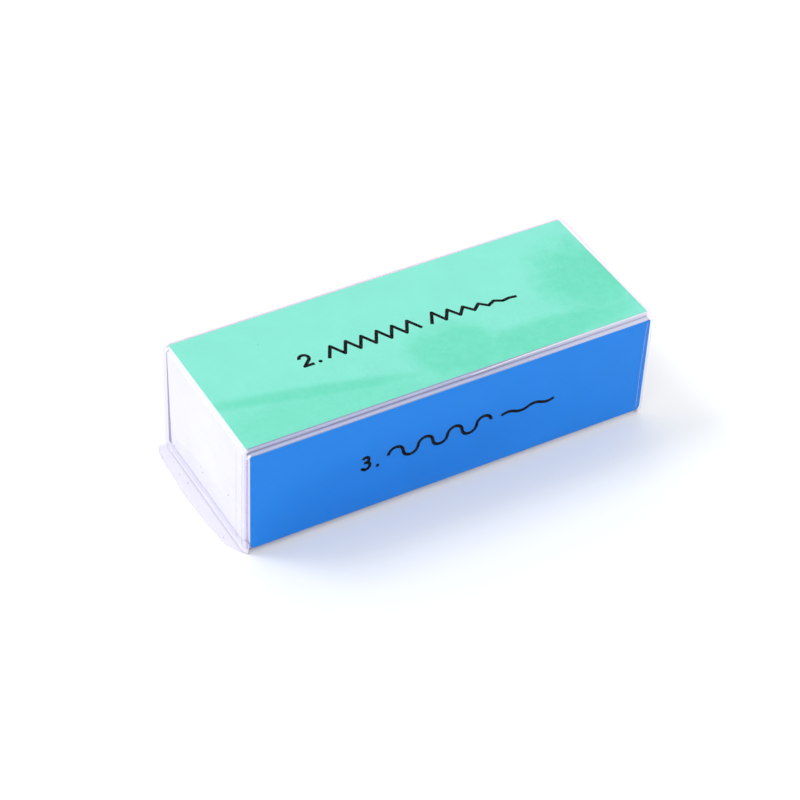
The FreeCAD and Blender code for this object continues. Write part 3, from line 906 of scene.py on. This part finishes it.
def end_fin(side, name, cad_node, outline):
    """A welded fin, its bead and its specks."""
    row_count, columns = 110, 14
    ys, reaches = np.array(outline).T
    along = np.linspace(ys[0], ys[-1], row_count)
    reach_along = np.interp(along, ys, reaches)
    # The outline's corners are rounded off by averaging each place with two on either side
    weights = np.array([1, 2, 3, 2, 1]) / 9
    held = np.concatenate([reach_along[:1].repeat(2), reach_along, reach_along[-1:].repeat(2)])
    rows = []
    for y, reach in zip(along * MM, np.convolve(held, weights, mode="valid") * MM):
        row = []
        for j in range(columns):
            share = j / (columns - 1)
            x = FIN_ROOT + (CREASE + reach - FIN_ROOT) * share
            row.append(Vector((side * x, y, fin_height(side, share, y))))
        rows.append(row)
    points, faces = strip(rows, Vector((0, 0, FIN_THICKNESS)))
    fin = make_piece(name, points, faces, TWO_PLY_FILM, None, smooth_angle=60)
    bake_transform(fin)
    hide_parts(cad_node)

    bead = bead_along(name + "_bead", rim_of(rows), radius=0.06 * MM, spacing=0.45 * MM,
                      finish=WELDED_FILM)
    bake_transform(bead)

    chance = np.random.RandomState(21 + side)
    speck_count, clear_rows, clear_columns = 9, 8, 5
    on_film = Vector((0, 0, 0.02 * MM))
    places = []
    for _ in range(speck_count):
        row = rows[chance.randint(clear_rows, row_count - clear_rows)]
        places.append(row[chance.randint(clear_columns, columns - 1)] + on_film)
    dust = specks_at(name + "_dust", places, 4)
    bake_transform(dust)


end_fin(-1, "left_welded_fin", "left_end_fin", LEFT_REACH)
end_fin(1, "right_welded_fin", "right_end_fin", RIGHT_REACH)


def back_weld():
    """The long weld that closed the bag, along the lower edge behind the block."""
    seal_low, seal_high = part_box("back_edge_seal")
    root, row_count, columns = 18.25 * MM, 150, 6
    root_height, droop, curl, unevenness = 0.5 * MM, 0.18 * MM, 0.45 * MM, 0.35 * MM
    rows = []
    for x in np.linspace(seal_low.x, seal_high.x, row_count):
        row = []
        edge = seal_high.y - unevenness * wander(11, x, 0, 0, 9 * MM)
        for j in range(columns):
            share = j / (columns - 1)
            height = root_height - droop * share + curl * share * wander(12, x, 0, 0, 6 * MM)
            row.append(Vector((x, root + (edge - root) * share, height)))
        rows.append(row)
    points, faces = strip(rows, Vector((0, 0, FIN_THICKNESS)))
    seal = make_piece("back_welded_edge", points, faces, SHRINK_FILM, "block",
                      smooth_angle=60)
    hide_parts("back_edge_seal")
    bead = bead_along("back_weld_bead", rim_of(rows), radius=0.08 * MM, spacing=0.6 * MM,
                      finish=WELDED_FILM)
    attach(bead, "block")


back_weld()


def crease(name, corners, radius, sway, finish):
    """A fold in the wrap, through a few points in millimetres, swaying a little along the way."""
    steps, spacing, sway_length = 12, 0.8 * MM, 5 * MM
    path = []
    for a, b in zip(corners, corners[1:]):
        a, b = Vector(a) * MM, Vector(b) * MM
        for i in range(steps):
            p = a.lerp(b, i / steps)
            path.append(p + Vector(sway) * MM * (wander(20, p.x, p.y, p.z, sway_length) - 0.5))
    path.append(Vector(corners[-1]) * MM)
    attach(bead_along(name, path, radius * MM, spacing, finish), "block")


# Each crease's points, radius and sway in millimetres, and its film
CREASES = {
    # A ridge in the wrap whose milky film is a painted highlight along the blue sheet's right edge
    "front_right_painted_highlight_crease": ([(46.6, -19.25, 26.2), (46.4, -19.27, 14), (46.5, -19.25, 2.4)],
                           0.06, (0.3, 0, 0), CREASED_FILM),
    "left_end_outer_crease": ([(-48.16, -17.3, 26.4), (-48.2, -17.1, 14), (-48.26, -17.3, 2)],
                              0.06, (0, 0.3, 0), CREASED_FILM),
    "left_end_inner_crease": ([(-48.2, -14.6, 25.8), (-48.22, -14.5, 12), (-48.28, -14.8, 1.5)],
                              0.04, (0, 0.3, 0), CREASED_FILM),
    "left_front_fold": ([(-47.78, -18.85, 26.0), (-47.82, -18.85, 14), (-47.8, -18.8, 1.8)],
                        0.24, (0, 0.1, 0), FOLDED_FILM),
    # A milky bead that is a painted highlight along the mint sheet's front edge
    "front_notch_painted_highlight": ([(4, -18.1, 27.6), (16, -18.05, 27.95), (31, -18.02, 28.04),
                            (47.3, -17.95, 28.06)], 0.11, (0, 0.06, 0), MILKY_FILM_PAINTED_LIGHT),
    "back_notch_crease": ([(-47.4, 17.95, 28.0), (-10, 18.05, 28.0), (47.2, 17.95, 28.0)],
                          0.24, (0, 0.1, 0), BLUSHED_FILM),
}
for name, shape in CREASES.items():
    crease(name, *shape)


def weld_tuck(name, side, foot_line):
    """The wrap's slack, drawn up over the foot of an end, above its weld; in millimetres. Its
    near-white milky film is painted light over the shade at the foot.
    """
    pitch, lean, foot, columns, unevenness = 0.6, 0.32, 0.2, 6, 0.5
    rows = []
    for (x0, y0, top0), (x1, y1, top1) in zip(foot_line, foot_line[1:]):
        steps = max(2, round(math.hypot(x1 - x0, y1 - y0) / pitch))
        for i in range(steps):
            share = i / steps
            x, y = x0 + (x1 - x0) * share, y0 + (y1 - y0) * share
            top = top0 + (top1 - top0) * share
            top += unevenness * (wander(31, x * MM, y * MM, 0, 4 * MM) - 0.5)
            up = [j / columns for j in range(columns + 1)]
            rows.append([Vector((side * (x - lean * u), y, foot + (top - foot) * u)) * MM
                         for u in up])
    points, faces = strip(rows, Vector((side * 0.04, 0, 0.02)) * MM)
    make_piece(name, points, faces, MILKY_FILM_PAINTED_LIGHT, "block", smooth_angle=60)


# Each foot line: distance out, place across and height of slack in millimetres, from front to back
weld_tuck("left_weld_slack", -1,
          [(47.7, -18.9, 2.3), (48.05, -18.6, 3.2), (48.3, -18.0, 3.1), (48.42, -17.2, 2.6),
           (48.44, 0, 2.3), (48.42, 17.0, 2.2), (48.3, 17.9, 1.7)])
weld_tuck("right_weld_slack", 1,
          [(47.8, -18.6, 1.4), (48.38, -17.2, 2.2), (48.44, 0, 2.4), (48.4, 17.0, 2.3),
           (48.25, 17.9, 1.7)])

# Specks of dust on the wrap, in millimetres: on top (along, across), on the left end (across, up)
TOP_DUST = [(-9.1, 12.6), (33.8, 17.2), (-31.0, 9.5), (19.5, -11.0)]
END_DUST = [(14.6, 2.9), (1.8, 7.4), (0.9, 6.6), (-5.5, 17.0), (-11.0, 10.2)]
DUST_HEIGHT = wrap_high.z / MM + 0.03
LEFT_END = -48.18
specks = [Vector((x, y, DUST_HEIGHT)) * MM for x, y in TOP_DUST]
specks += [Vector((LEFT_END, y, z)) * MM for y, z in END_DUST]
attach(specks_at("trapped_dust", specks, 2), "block")


# Stage: a plain pale floor and soft light

def floor():
    shape = bmesh.new()
    bmesh.ops.create_grid(shape, x_segments=8, y_segments=8, size=3.0)
    mesh = bpy.data.meshes.new("floor")
    shape.to_mesh(mesh)
    shape.free()
    mesh.materials.append(plain_paint("white_card", "#FAFAFB", 0.9))
    add_object("floor", mesh)


def lights():
    world = bpy.data.worlds.new("studio")
    bpy.context.scene.world = world
    world.use_nodes = True
    background = world.node_tree.nodes["Background"]
    background.inputs["Color"].default_value = linear("#FDFFFE")
    background.inputs["Strength"].default_value = 0.86

    # Name, strength, spread in degrees, and the direction that the light comes from
    for name, energy, spread, towards in (("key", 0.83, 22, (-0.48, 0.43, 0.76)),
                                          ("fill", 0.36, 60, (-0.35, -0.62, 0.70))):
        softbox = add_object(name, bpy.data.lights.new(name, "SUN"))
        softbox.data.energy = energy
        softbox.data.angle = math.radians(spread)
        softbox.rotation_euler = Vector(towards).to_track_quat("Z", "Y").to_euler()

    # A tall panel behind the block, whose upper and right edges are mirrored in the film on top
    away, film_height = 3.0, 0.028
    left, right, low, high = -1.2 * away, 0.71 * away, 0.35 * away, 0.99 * away
    panel = add_object("panel", bpy.data.lights.new("panel", "AREA"))
    panel.data.shape = "RECTANGLE"
    panel.data.size = right - left
    panel.data.size_y = high - low
    panel.data.energy = 25.0
    panel.data.color = linear("#E8F4FF")[:3]
    panel.location = ((left + right) / 2, away, (low + high) / 2 + film_height)
    panel.rotation_euler = (math.radians(-90), 0, 0)
    panel.visible_camera = False
    bpy.context.scene.view_settings.view_transform = "Standard"


place_camera()
floor()
lights()
